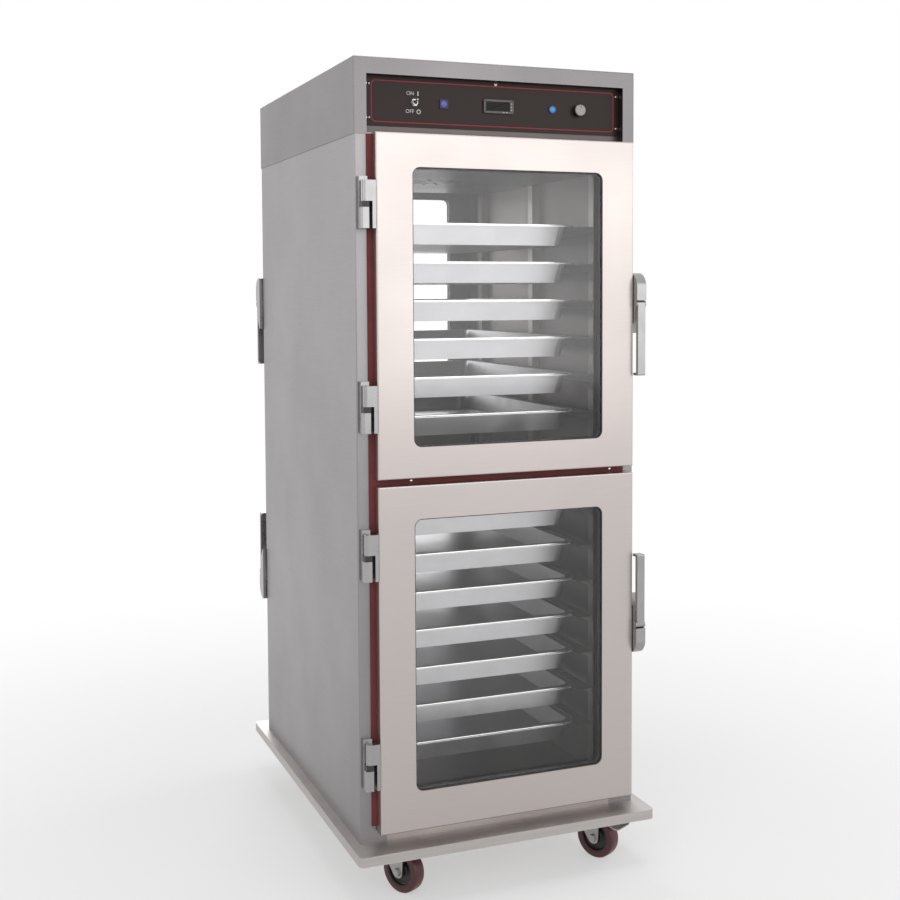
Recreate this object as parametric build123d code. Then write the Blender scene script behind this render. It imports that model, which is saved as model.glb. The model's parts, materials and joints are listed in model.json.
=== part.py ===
from build123d import *
import math
import os

# Heated holding cabinet on casters: an insulated stainless box with two half-height glass
# doors at the front and the same two at the back, a header with the controls, and two
# racks of angle runners that carry baking trays.
# X runs across the front, +X at the latch side of the front doors. -Y is the front.
# Z is up from the floor, and the origin is on the floor under the middle of the cabinet.

os.makedirs("parts", exist_ok=True)

# Casing
cabinet_width = 675.0
cabinet_depth = 840.0
body_height = 1550.0
header_height = 161.0
wall_thickness = 45.0
casing_sheet = 1.5
liner_sheet = 1.0
casing_bend = 3.0
post_width = 62.0
cavity_floor_rise = 40.0
rail_depth = 18.0
top_rail_height = 39.0
mullion_height = 60.0
fit_gap = 0.5

# Platform under the cabinet
platform_width = 720.0
platform_depth = 980.0
platform_sheet = 3.0
platform_lip = 22.0
platform_corner = 12.0

# Casters
caster_height = 130.0
caster_side_inset = 115.0
caster_end_inset = 126.0
wheel_diameter = 100.0
wheel_width = 30.0
tyre_thickness = 14.0
tyre_crown = 3.0
wheel_trail = 35.0
fork_sheet = 3.5
wheel_side_gap = 3.0
axle_radius = 5.0
running_gap = 0.05
kingpin_radius = 6.0
race_radius = 29.0
caster_plate_length = 92.0
caster_plate_width = 70.0
caster_plate_sheet = 4.0
swivel_angles = {
    "front_left": -61.5,
    "front_right": -61.5,
    "rear_left": -74.0,
    "rear_right": -48.0,
}
braked_casters = ("front_right", "rear_right")
pedal_slope = 15.0
pedal_reach = 62.0
pedal_width = 60.0
pedal_sheet = 3.0

# Doors
door_thickness = 28.0
door_standoff = 4.0
door_side_gap_hinge = 38.0
door_side_gap_latch = 16.0
door_sheet = 1.5
door_floor_gap = 25.0
lower_door_height = 765.0
door_gap = 15.0
door_head_gap = 1.0
door_liner_flange = 10.0
window_height = 604.0
window_corner = 18.0
window_stile_hinge = 82.0
window_stile_latch = 80.0
lower_window_sill = 87.0
upper_window_sill = 68.0
glass_thickness = 4.0
glass_bite = 10.0
outer_pane_setback = 2.5
inner_pane_setback = 2.5
seal_lip = 2.0
seal_land = 14.0

# Door gasket on the cabinet
gasket_thickness = 3.7
gasket_side_inset = 27.0
gasket_floor_rise = 38.0
gasket_edge = 2.0

# Hinges
hinge_height = 102.0
hinge_inset = 153.0
hinge_pin_inset = 14.7
hinge_pin_standoff = 24.0
hinge_pin_radius = 4.0
hinge_knuckle_radius = 7.5
hinge_leaf_inset = 5.7
hinge_leaf_width = 18.3
hinge_leaf_base = 15.5
hinge_leaf_tab = 9.0
hinge_flange = 8.0
hinge_cam_height = 13.0
hinge_play = 0.3

# Latches
latch_width = 24.0
latch_back = 8.0
latch_front = 50.0
latch_housing_length = 138.0
latch_step = 62.0
latch_seat = 40.0
latch_seat_end = 102.0
latch_nose = 30.0
lever_length = 235.0
lever_width = 19.0
lever_thickness = 9.5
lever_barrel = 8.0
lever_lip = 6.0
lever_lip_reach = 22.0
latch_pin_radius = 2.5
lower_latch_foot = 364.0
upper_latch_head = 1250.0
strike_width = 12.0
strike_length = 80.0
strike_sheet = 3.0
strike_boss = 6.5

# Header and controls
header_overlap = 3.0
header_stile = 28.0
header_top_rail = 36.0
control_recess = 25.0
overlay_thickness = 2.0
overlay_foot = 16.0
toggle_x = -192.6
power_light_x = -124.0
display_x = 6.4
heat_light_x = 140.6
knob_x = 205.5
toggle_tilt = 12.0
toggle_length = 17.0
bushing_length = 8.0
knob_radius = 13.5
knob_depth = 15.0
knob_shaft_radius = 3.0
display_width = 72.0
display_height = 30.0
display_depth = 5.0
light_size = 20.0
light_depth = 6.0
gland_x = -250.0
gland_rise = 45.0
gland_bore = 5.0

# Air system over the cavity
baffle_drop = 64.0
baffle_depth = 660.0
baffle_flange = 20.0
fan_radius = 80.0
fan_height = 38.0
fan_blades = 18
fan_shaft_radius = 4.0
motor_radius = 45.0
motor_height = 80.0
element_radius = 110.0
element_tube = 4.0

# Trays and their racks
tray_width = 476.0
tray_length = 676.0
tray_depth = 48.0
tray_sheet = 1.2
tray_rim = 16.0
tray_lip = 5.0
tray_taper = 10.0
tray_corner = 26.0
tray_pitch = 87.0
lower_trays = 7
upper_trays = 6
lower_first_rim = 179.0
upper_first_rim = 930.0
upright_depth = 20.5
upright_width = 25.0
upright_front = 350.0
runner_sheet = 1.5
runner_drop = 18.0
runner_clearance = 4.0
runner_length = 700.0

# Places worked out from the sizes
platform_top = caster_height + platform_sheet
header_floor = platform_top + body_height
cabinet_top = header_floor + header_height
half_width = cabinet_width / 2
half_depth = cabinet_depth / 2
front = -half_depth
cavity_floor = platform_top + cavity_floor_rise
liner_half_width = half_width - wall_thickness
opening_half_width = half_width - post_width
door_left = -half_width + door_side_gap_hinge
door_right = half_width - door_side_gap_latch
door_back = front - door_standoff
door_front = door_back - door_thickness
window_left = door_left + window_stile_hinge
window_right = door_right - window_stile_latch
lower_door_foot = platform_top + door_floor_gap
lower_door_head = lower_door_foot + lower_door_height
upper_door_foot = lower_door_head + door_gap
upper_door_head = header_floor - door_head_gap
mullion_middle = (lower_door_head + upper_door_foot) / 2
hinge_pin_x = -half_width + hinge_pin_inset
hinge_pin_y = front - hinge_pin_standoff
lever_pivot_u = latch_front - lever_barrel
lever_pivot_v = latch_step + lever_barrel + fit_gap
axle_height = wheel_diameter / 2
doors = {
    "lower": (lower_door_foot, lower_door_head, lower_door_foot + lower_window_sill),
    "upper": (upper_door_foot, upper_door_head, upper_door_foot + upper_window_sill),
}


def block(x, y, z):
    """A box that fills three spans, each (low, high)."""
    size = (x[1] - x[0], y[1] - y[0], z[1] - z[0])
    return Pos(x[0], y[0], z[0]) * Box(*size, align=(Align.MIN, Align.MIN, Align.MIN))


def outline(x, z, corner=0.0):
    """A front-view rectangle over two spans, with rounded corners if asked."""
    width, height = x[1] - x[0], z[1] - z[0]
    shape = RectangleRounded(width, height, corner) if corner else Rectangle(width, height)
    return Pos((x[0] + x[1]) / 2, (z[0] + z[1]) / 2) * shape


def from_front(sketch, y_back, depth):
    """A front-view sketch (x, z) as a plate whose back lies at y_back."""
    return extrude(Plane(origin=(0, y_back, 0), x_dir=(1, 0, 0), z_dir=(0, -1, 0)) * sketch, depth)


def from_side(sketch, x_left, width):
    """A side-view sketch (y, z) as a solid that starts at x_left and runs to +X."""
    return extrude(Plane(origin=(x_left, 0, 0), x_dir=(0, 1, 0), z_dir=(1, 0, 0)) * sketch, width)


def rod_x(radius, x, y, z):
    """A round bar along X over the span x."""
    return Pos((x[0] + x[1]) / 2, y, z) * Rot(0, 90, 0) * Cylinder(radius, x[1] - x[0])


def rod_y(radius, x, y, z):
    """A round bar along Y over the span y."""
    return Pos(x, (y[0] + y[1]) / 2, z) * Rot(90, 0, 0) * Cylinder(radius, y[1] - y[0])


def rod_z(radius, x, y, z):
    """A round bar along Z over the span z."""
    return Pos(x, y, (z[0] + z[1]) / 2) * Cylinder(radius, z[1] - z[0])


def group(*shapes):
    """Several separate solids as one node."""
    return Compound([solid for shape in shapes for solid in shape.solids()])


def turned(shape):
    """The same piece for the back of the cabinet, half a turn about Z."""
    return Rot(0, 0, 180) * shape


def platform():
    """Pan of thick sheet with its edges turned down, which fends off walls."""
    edge = platform_lip
    pan = extrude(RectangleRounded(platform_width, platform_depth, platform_corner), edge)
    hollow = extrude(
        RectangleRounded(
            platform_width - 2 * platform_sheet,
            platform_depth - 2 * platform_sheet,
            platform_corner - platform_sheet,
        ),
        edge - platform_sheet,
    )
    return Pos(0, 0, platform_top - edge) * (pan - hollow)


def side_panel():
    """Left casing wall, folded to a C whose flanges are the front and rear posts."""
    outside = Pos(-half_width + post_width / 2, 0) * Rectangle(post_width, cabinet_depth)
    outside = fillet(outside.vertices().group_by(Axis.X)[0], casing_bend)
    inside = Pos(-half_width + casing_sheet + post_width / 2, 0) * Rectangle(
        post_width, cabinet_depth - 2 * casing_sheet
    )
    inside = fillet(inside.vertices().group_by(Axis.X)[0], casing_bend - casing_sheet)
    return Pos(0, 0, platform_top) * extrude(outside - inside, body_height)


def folded_rail(z):
    """Cross rail of the door frame between the posts, a channel open at the back."""
    span = (-opening_half_width, opening_half_width)
    solid = block(span, (front, front + rail_depth), z)
    room = block(
        span,
        (front + casing_sheet, front + rail_depth),
        (z[0] + casing_sheet, z[1] - casing_sheet),
    )
    return solid - room


def door_frame():
    """The three cross rails of one face: sill, mullion between the doors, head."""
    half_mullion = mullion_height / 2
    return [
        folded_rail((platform_top, cavity_floor)),
        folded_rail((mullion_middle - half_mullion, mullion_middle + half_mullion)),
        folded_rail((header_floor - liner_sheet - top_rail_height, header_floor - liner_sheet)),
    ]


def inner_liner():
    """Welded sleeve that is the cavity, open at both doors, with the fan shaft's hole."""
    length = cabinet_depth - 2 * casing_sheet
    outside = outline((-liner_half_width, liner_half_width), (cavity_floor, header_floor))
    inside = outline(
        (-liner_half_width + liner_sheet, liner_half_width - liner_sheet),
        (cavity_floor + liner_sheet, header_floor - liner_sheet),
    )
    sleeve = from_front(outside - inside, length / 2, length)
    return sleeve - rod_z(2 * fan_shaft_radius, 0, 0, (header_floor - 10, header_floor + 10))


def wall_insulation():
    """Mineral wool slabs in both side walls and under the cavity floor."""
    y = (front + casing_sheet + fit_gap, -front - casing_sheet - fit_gap)
    z = (platform_top + fit_gap, header_floor - fit_gap)
    slab_x = (-half_width + casing_sheet + fit_gap, -liner_half_width - fit_gap)
    slab = block(slab_x, y, z)
    floor_y = front + rail_depth + fit_gap
    floor_slab = block(
        (-liner_half_width, liner_half_width),
        (floor_y, -floor_y),
        (platform_top + fit_gap, cavity_floor - fit_gap),
    )
    return group(slab, turned(slab), floor_slab)


def door_gasket():
    """Flat silicone frame round both door openings of one face, over the whole mullion."""
    outer_x = half_width - gasket_side_inset
    inner_x = opening_half_width + gasket_edge
    half_mullion = mullion_height / 2 + gasket_edge
    head = header_floor - liner_sheet - top_rail_height - gasket_edge
    frame = outline(
        (-outer_x, outer_x), (platform_top + gasket_floor_rise, header_floor - header_overlap)
    )
    lower = outline((-inner_x, inner_x), (cavity_floor + 2 * gasket_edge, mullion_middle - half_mullion))
    upper = outline((-inner_x, inner_x), (mullion_middle + half_mullion, head))
    return from_front(frame - lower - upper, front, gasket_thickness)


def door_shell(foot, head, sill):
    """Outer pan of a door: face with the window cut out, and four folded edges."""
    pan = block((door_left, door_right), (door_front, door_back), (foot, head))
    pan = fillet(pan.faces().sort_by(Axis.Y)[0].edges(), casing_bend)
    room = block(
        (door_left + door_sheet, door_right - door_sheet),
        (door_front + door_sheet, door_back),
        (foot + door_sheet, head - door_sheet),
    )
    window = outline((window_left, window_right), (sill, sill + window_height), window_corner)
    return pan - room - from_front(window, door_back, door_thickness)


def door_liner(foot, head, sill):
    """Inner pan of a door, which closes the shell and carries the seal from behind."""
    inset = door_sheet + fit_gap
    x = (door_left + inset, door_right - inset)
    z = (foot + inset, head - inset)
    pan = block(x, (door_back - door_liner_flange, door_back), z)
    room = block(
        (x[0] + door_sheet, x[1] - door_sheet),
        (door_back - door_liner_flange, door_back - door_sheet),
        (z[0] + door_sheet, z[1] - door_sheet),
    )
    window = outline((window_left, window_right), (sill, sill + window_height), window_corner)
    return pan - room - from_front(window, door_back, door_liner_flange)


def door_panes(sill):
    """The two panes of the window, one behind the face and one behind the liner."""
    x = (window_left - glass_bite, window_right + glass_bite)
    z = (sill - glass_bite, sill + window_height + glass_bite)
    pane = outline(x, z, glass_bite)
    outer_back = door_front + door_sheet + outer_pane_setback + glass_thickness
    inner_back = door_back - door_sheet - inner_pane_setback
    return group(
        from_front(pane, outer_back, glass_thickness),
        from_front(pane, inner_back, glass_thickness),
    )


def door_seal(sill, panes):
    """Silicone glazing frame with a groove for each pane and a lip that shows."""
    outside = outline(
        (window_left - seal_land, window_right + seal_land),
        (sill - seal_land, sill + window_height + seal_land),
        seal_land,
    )
    inside = outline(
        (window_left + seal_lip, window_right - seal_lip),
        (sill + seal_lip, sill + window_height - seal_lip),
        window_corner - seal_lip,
    )
    depth = door_thickness - 2 * door_sheet
    return from_front(outside - inside, door_back - door_sheet, depth) - panes


def frame_hinge_leaf(middle):
    """Fixed leaf on the post: a cast base, with the lower knuckle standing forward."""
    x = (-half_width + hinge_leaf_inset, -half_width + hinge_leaf_inset + hinge_leaf_width)
    foot = middle - hinge_height / 2
    base = block(x, (front - hinge_leaf_base, front), (foot, middle + hinge_height / 2 + hinge_leaf_tab))
    knuckle_top = middle - hinge_cam_height / 2
    knuckle = block(x, (door_front, front), (foot, knuckle_top))
    knuckle = fillet(knuckle.faces().sort_by(Axis.Y)[0].edges().filter_by(Axis.Z), casing_bend)
    pin = hinge_pin(middle)
    return group((base + knuckle) - pin, pin)


def hinge_pin(middle):
    """Steel pin, pressed in the lower knuckle and running in the upper one."""
    reach = hinge_height / 2 - 2
    return rod_z(hinge_pin_radius, hinge_pin_x, hinge_pin_y, (middle - reach, middle + reach))


def hinge_cam(middle):
    """Nylon riser between the knuckles, on the pin."""
    margin = 0.8
    x = (
        -half_width + hinge_leaf_inset + margin,
        -half_width + hinge_leaf_inset + hinge_leaf_width - margin,
    )
    y = (door_front + margin, front - hinge_leaf_base - margin)
    half = hinge_cam_height / 2
    riser = block(x, y, (middle - half, middle + half - hinge_play))
    return riser - hinge_pin(middle)


def door_hinge_leaf(middle):
    """Moving leaf: a flange down the door's edge, and the upper knuckle round the pin."""
    barrel_z = (middle + hinge_cam_height / 2, middle + hinge_height / 2)
    arm_y = (hinge_pin_y - hinge_knuckle_radius, hinge_pin_y + hinge_knuckle_radius)
    arm = block((hinge_pin_x, door_left), arm_y, barrel_z)
    barrel = rod_z(hinge_knuckle_radius, hinge_pin_x, hinge_pin_y, barrel_z)
    flange = block(
        (door_left - hinge_flange, door_left),
        (arm_y[0], door_back - 2),
        (middle - hinge_height / 2, middle + hinge_height / 2),
    )
    bore = rod_z(hinge_pin_radius + running_gap, hinge_pin_x, hinge_pin_y, barrel_z)
    return arm + barrel + flange - bore


def latch_profile():
    """Side view of the latch housing in (-u, v): u is out from the post, v along the lever."""
    edge = Polyline(
        (-latch_front, latch_nose),
        (-latch_front, latch_step),
        (-latch_seat, latch_step),
        (-latch_seat, latch_seat_end),
        (-latch_back - 6, latch_housing_length),
        (-latch_back, latch_housing_length),
        (-latch_back, 0),
    )
    nose = ThreePointArc((-latch_back, 0), (-0.76 * latch_front, 0.25 * latch_nose), (-latch_front, latch_nose))
    return make_face([*edge.edges(), *nose.edges()])


def latch_pin():
    """Pin that the lever turns on, at the latch's own origin."""
    return rod_x(latch_pin_radius, (0, latch_width), -lever_pivot_u, lever_pivot_v)


def latch_housing():
    """Cast housing on the door's edge, with two ears that hold the lever's pin."""
    body = from_side(latch_profile(), 0, latch_width)
    pivot = (-lever_pivot_u, lever_pivot_v)
    ears = rod_x(lever_barrel, (0, latch_width), *pivot)
    cheek = (latch_width - lever_width) / 2 - running_gap * 4
    slot = (cheek, latch_width - cheek)
    recess = rod_x(lever_barrel + fit_gap, slot, *pivot)
    mouth = block(slot, (-latch_front - fit_gap, -latch_seat), (latch_step, latch_seat_end))
    return body + ears - recess - mouth - latch_pin()


def latch_lever():
    """Flat cast handle: a barrel on the pin, a bar along the door, a lip turned back."""
    x = ((latch_width - lever_width) / 2, (latch_width + lever_width) / 2)
    barrel = rod_x(lever_barrel, x, -lever_pivot_u, lever_pivot_v)
    bar = block(x, (-latch_front, -latch_front + lever_thickness), (lever_pivot_v, lever_length))
    lip = block(
        x, (-latch_front, -latch_front + lever_lip_reach), (lever_length - lever_lip, lever_length)
    )
    lever = bar + lip
    tip = lever.edges().filter_by(Axis.X).group_by(Axis.Z)[-1].sort_by(Axis.Y)[0]
    lever = fillet(tip, lever_lip / 2)
    bore = rod_x(latch_pin_radius + running_gap, x, -lever_pivot_u, lever_pivot_v)
    return barrel + lever - bore


def latch_strike():
    """Keeper on the post behind the housing: a plate with a raised boss."""
    side = 2.0
    foot = latch_seat_end - strike_length
    middle = foot + strike_length / 2
    x = (side, side + strike_width)
    plate = block(x, (-strike_sheet, 0), (foot, foot + strike_length))
    boss = block(x, (-strike_boss, 0), (middle - strike_width, middle + strike_width))
    return plate + boss


def placed_latch(piece, level):
    """A latch piece on the front door of that level; the upper one hangs head down."""
    if level == "lower":
        return Pos(door_right, front, platform_top + lower_latch_foot) * piece
    return Pos(door_right, front, platform_top + upper_latch_head) * mirror(piece, Plane.XY)


def header_cap():
    """Folded lid over the header, open at the front for the controls."""
    x, y = half_width + casing_sheet, half_depth + casing_sheet
    foot = header_floor - header_overlap
    cap = block((-x, x), (-y, y), (foot, cabinet_top))
    cap = fillet(cap.edges().filter_by(Axis.Z) + cap.faces().sort_by(Axis.Z)[-1].edges(), casing_bend)
    cap -= block((-half_width, half_width), (-half_depth, half_depth), (foot, cabinet_top - casing_sheet))
    opening = outline(
        (-half_width + header_stile, half_width - header_stile), (foot, cabinet_top - header_top_rail)
    )
    cap -= from_front(opening, front, casing_sheet)
    return cap - gland_outside(gland_bore * 1.8)


def gland_outside(radius):
    """Round envelope of the cord gland where it goes through the header's back."""
    z = header_floor + gland_rise
    return rod_y(radius, gland_x, (half_depth - 10, half_depth + 20), z)


def cord_gland():
    """Clamping gland for the mains cord in the header's back: neck, two nuts, a bore."""
    z = header_floor + gland_rise
    neck = gland_outside(gland_bore * 1.8)
    hexagon = Pos(gland_x, z) * RegularPolygon(gland_bore * 2.8, 6)
    outer_nut = from_front(hexagon, half_depth + casing_sheet + 8, 8)
    inner_nut = from_front(hexagon, half_depth, 6)
    return neck + outer_nut + inner_nut - gland_outside(gland_bore)


def control_carrier():
    """Shallow tray behind the header's opening, which sets the controls back."""
    x = (-half_width + header_stile, half_width - header_stile)
    z = (header_floor + casing_sheet, cabinet_top - header_top_rail)
    back = front - casing_sheet + control_recess
    tray = block(
        (x[0] - casing_sheet, x[1] + casing_sheet),
        (front, back + casing_sheet),
        (z[0] - casing_sheet, z[1] + casing_sheet),
    )
    return tray - block(x, (front, back), z)


overlay_back = front - casing_sheet + control_recess
overlay_face = overlay_back - overlay_thickness
overlay_low = header_floor + casing_sheet + overlay_foot
overlay_high = cabinet_top - header_top_rail
control_height = (overlay_low + overlay_high) / 2


def control_overlay():
    """Dark face plate of the controls, on the carrier."""
    x = (-half_width + header_stile, half_width - header_stile)
    return from_front(outline(x, (overlay_low, overlay_high)), overlay_back, overlay_thickness)


def panel_hardware():
    """Five dome screws of the face plate, the toggle's bushing, the knob's shaft."""
    edge = half_width - header_stile - 5
    low, high = overlay_low + 17, overlay_high - 17
    places = [(-edge, low), (-edge, high), (edge, low), (edge, high), (0, overlay_high - 5)]
    dome = 3.2
    screws = [rod_y(dome, x, (overlay_face - 1.8, overlay_face), z) for x, z in places]
    nut = from_front(Pos(toggle_x, control_height) * RegularPolygon(8.5, 6), overlay_face, 2.5)
    bush = rod_y(6, toggle_x, (overlay_face - bushing_length, overlay_face), control_height)
    bore = rod_y(4.4, toggle_x, (overlay_face - bushing_length, overlay_face), control_height)
    shaft_y = (overlay_face - knob_depth + 3, overlay_face)
    shaft = rod_y(knob_shaft_radius, knob_x, shaft_y, control_height)
    return group(*screws, nut + bush - bore, shaft)


toggle_pivot_y = overlay_face - 4.0


def toggle_lever():
    """Bat handle of the mains switch, tilted up to on, with a ball in its bushing."""
    ball = Sphere(3.4)
    bat = Pos(0, 0, toggle_length / 2) * Cone(1.8, 3.2, toggle_length)
    tip = Pos(0, 0, toggle_length) * Sphere(3.2)
    return (
        Pos(toggle_x, toggle_pivot_y, control_height) * Rot(90 - toggle_tilt, 0, 0) * (ball + bat + tip)
    )


def temperature_knob():
    """Turned knob with a bevelled front and a pointer notch."""
    back = overlay_face - 0.5
    body = rod_y(knob_radius, knob_x, (back - knob_depth, back), control_height)
    body = chamfer(body.faces().sort_by(Axis.Y)[0].edges(), 1.5)
    face = back - knob_depth
    notch = block((knob_x - 1, knob_x + 1), (face, face + 1.2), (control_height + 4, control_height + 20))
    bore = rod_y(
        knob_shaft_radius + running_gap, knob_x, (overlay_face - knob_depth + 3 - 0.5, back), control_height
    )
    return body - notch - bore


def temperature_display():
    """Digital thermostat: a raised bezel round a sunk screen."""
    x = (display_x - display_width / 2, display_x + display_width / 2)
    z = (control_height - display_height / 2, control_height + display_height / 2)
    bezel = from_front(outline(x, z, 2.5), overlay_face, display_depth)
    border = 6.0
    hole = outline((x[0] + border, x[1] - 2 * border), (z[0] + border, z[1] - border))
    bezel -= from_front(hole, overlay_face, display_depth)
    return group(bezel, from_front(hole, overlay_face, display_depth - 2))


def pilot_lights():
    """Square mains light with a round lens, and the smaller round heat light."""
    square = outline(
        (power_light_x - light_size / 2, power_light_x + light_size / 2),
        (control_height - light_size / 2, control_height + light_size / 2),
        2,
    )
    base = from_front(square, overlay_face, light_depth / 2)
    lens_y = (overlay_face - light_depth, overlay_face)
    power = base + rod_y(light_size * 0.36, power_light_x, lens_y, control_height)
    heat = rod_y(light_size * 0.42, heat_light_x, lens_y, control_height)
    heat = fillet(heat.faces().sort_by(Axis.Y)[0].edges(), 1.5)
    return group(power, heat)


def air_baffle():
    """False ceiling under the fan: flanged to the side walls, slotted under the wheel."""
    x = liner_half_width - liner_sheet
    z = header_floor - baffle_drop
    sheet = block((-x, x), (-baffle_depth / 2, baffle_depth / 2), (z, z + casing_sheet))
    left = block((-x, -x + casing_sheet), (-baffle_depth / 2, baffle_depth / 2), (z, z + baffle_flange))
    baffle = sheet + left + turned(left)
    slot = Pos(0.62 * fan_radius, 0) * SlotOverall(0.6 * fan_radius, 8)
    slots = [Rot(0, 0, 30 * turn) * slot for turn in range(12)]
    cut = Pos(0, 0, z) * extrude(Sketch() + slots, casing_sheet)
    return baffle - cut


def fan_wheel():
    """Centrifugal wheel on its shaft: back plate, hub, and a ring of straight vanes."""
    head = header_floor - liner_sheet - 8
    foot = head - fan_height
    plate = rod_z(fan_radius, 0, 0, (head - 1.5, head))
    hub = rod_z(12, 0, 0, (foot + 10, head))
    shaft = rod_z(fan_shaft_radius, 0, 0, (foot + 10, header_floor + 12))
    vane = Pos(fan_radius - 15, 0, (foot + head - 1.5) / 2) * Rot(0, 0, 35) * Box(24, 1.5, fan_height - 1.5)
    vanes = [Rot(0, 0, 360 / fan_blades * turn) * vane for turn in range(fan_blades)]
    return plate + hub + shaft + vanes


def fan_motor():
    """Fan motor standing on the cavity's roof, bored for the shaft."""
    can = rod_z(motor_radius, 0, 0, (header_floor + 4, header_floor + motor_height))
    can = fillet(can.faces().sort_by(Axis.Z)[-1].edges(), 8)
    foot = Pos(0, 0, header_floor) * extrude(RectangleRounded(120, 120, 12), 4)
    bore = rod_z(fan_shaft_radius + running_gap, 0, 0, (header_floor, header_floor + 14))
    return can + foot - bore


def heating_element():
    """Sheathed element bent to an open ring round the fan, its ends up to the roof."""
    roof = header_floor - liner_sheet
    level = roof - 30
    gap = 40
    ring = Pos(0, 0, level) * Torus(element_radius, element_tube, major_angle=360 - gap)
    element = ring
    for angle in (0, 360 - gap):
        x = element_radius * math.cos(math.radians(angle))
        y = element_radius * math.sin(math.radians(angle))
        element += Pos(x, y, level) * Sphere(element_tube)
        element += rod_z(element_tube, x, y, (level, roof))
    return element


def rim_heights():
    """Height of each tray's rim, from the bottom up."""
    lower = [platform_top + lower_first_rim + tray_pitch * n for n in range(lower_trays)]
    upper = [platform_top + upper_first_rim + tray_pitch * n for n in range(upper_trays)]
    return lower, upper


def tray(rim):
    """Drawn baking tray with sloping walls and a flanged, turned-down rim."""
    top_width = tray_width - 2 * tray_rim
    top_length = tray_length - 2 * tray_rim
    foot_width = top_width - 2 * tray_taper
    foot_length = top_length - 2 * tray_taper

    def well(inset, depth):
        mouth = RectangleRounded(top_width - inset, top_length - inset, tray_corner - inset / 2)
        bottom = RectangleRounded(foot_width - inset, foot_length - inset, tray_corner - inset / 2)
        return loft([Pos(0, 0, -depth) * bottom, mouth])

    corner = tray_corner + tray_rim / 2
    flange = RectangleRounded(tray_width, tray_length, corner)
    within = RectangleRounded(tray_width - 2 * tray_sheet, tray_length - 2 * tray_sheet, corner - tray_sheet)
    collar = extrude(flange, -tray_lip) - Pos(0, 0, -tray_sheet) * extrude(within, -tray_lip)
    pan = collar + well(0, tray_depth) - well(2 * tray_sheet, tray_depth - tray_sheet)
    return Pos(0, 0, rim) * pan


def tray_rack():
    """Left rack: three channel uprights on the wall, and an angle runner per tray."""
    wall = -liner_half_width + liner_sheet
    face = wall + upright_depth
    foot = cavity_floor + liner_sheet
    head = header_floor - baffle_drop - 2
    pieces = []
    for y in (-upright_front + upright_width / 2, 0, upright_front - upright_width / 2):
        span = (y - upright_width / 2, y + upright_width / 2)
        post = block((wall, face), span, (foot, head))
        post -= block(
            (wall, face - runner_sheet), (span[0] + runner_sheet, span[1] - runner_sheet), (foot, head)
        )
        pieces.append(post)
    inner = -tray_width / 2 + tray_rim - runner_clearance
    lower, upper = rim_heights()
    for rim in lower + upper:
        seat = rim - tray_lip
        y = (-runner_length / 2, runner_length / 2)
        leg = block((face, inner), y, (seat - runner_sheet, seat))
        web = block((face, face + runner_sheet), y, (seat - runner_drop, seat))
        pieces.append(leg + web)
    return pieces


def caster_fixed(x, y):
    """Top plate of a caster with its upper race, kingpin and nut, and four bolt heads."""
    plate = block(
        (x - caster_plate_width / 2, x + caster_plate_width / 2),
        (y - caster_plate_length / 2, y + caster_plate_length / 2),
        (caster_height - caster_plate_sheet, caster_height),
    )
    under = caster_height - caster_plate_sheet
    race = rod_z(race_radius, x, y, (under - 6.3, under))
    pin = rod_z(kingpin_radius, x, y, (under - 20, under))
    nut = Pos(x, y, under - 20) * extrude(RegularPolygon(10, 6), 5.6)
    bolts = [
        Pos(x + dx, y + dy, under - 5) * extrude(RegularPolygon(6, 6), 5)
        for dx in (-26, 26)
        for dy in (-37, 37)
    ]
    return plate + race + pin + nut + bolts


def at_caster(piece, x, y, angle):
    """Puts a piece modelled with the kingpin on Z, trailing to +X, at its corner."""
    return Pos(x, y, 0) * Rot(0, 0, angle) * piece


pedal_pivot_x = wheel_trail + 13.0
pedal_pivot_z = wheel_diameter + 4.0
fork_inner = wheel_width / 2 + wheel_side_gap
fork_outer = fork_inner + fork_sheet


def caster_fork(braked):
    """Swivelling yoke: race and crown on the kingpin, two tapered legs, axle with nuts."""
    crown_z = (caster_height - 18, caster_height - 14)
    crown_sketch = make_hull(
        (Circle(race_radius + 1) + Pos(16, 0) * Rectangle(72, 2 * fork_outer)).edges()
    )
    crown = Pos(0, 0, crown_z[0]) * extrude(crown_sketch, crown_z[1] - crown_z[0])
    crown += rod_z(race_radius + 1, 0, 0, (crown_z[1], crown_z[1] + 3.4))
    head = Pos(14, caster_height - 20) * Rectangle(76, 4)
    foot = Pos(wheel_trail, axle_height) * Circle(14)
    leg_sketch = make_hull([*head.edges(), *foot.edges()])
    leg = from_front(leg_sketch, fork_outer, fork_sheet)
    fork = crown + leg + from_front(leg_sketch, -fork_inner, fork_sheet)
    fork -= rod_z(kingpin_radius + running_gap, 0, 0, (crown_z[0], crown_z[1] + 4))
    fork -= rod_y(axle_radius, wheel_trail, (-fork_outer, fork_outer), axle_height)
    reach = fork_outer + 6
    axle = rod_y(axle_radius, wheel_trail, (-reach, reach), axle_height)
    hexagon = Pos(wheel_trail, axle_height) * RegularPolygon(9, 6)
    nuts = from_front(hexagon, reach - 0.5, 5.5) + from_front(hexagon, -fork_outer, 5.5)
    pieces = [axle + nuts]
    if braked:
        pin = rod_y(2, pedal_pivot_x, (-fork_outer, fork_outer), pedal_pivot_z)
        fork -= pin
        pieces.append(pin)
    return group(fork, *pieces)


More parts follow.
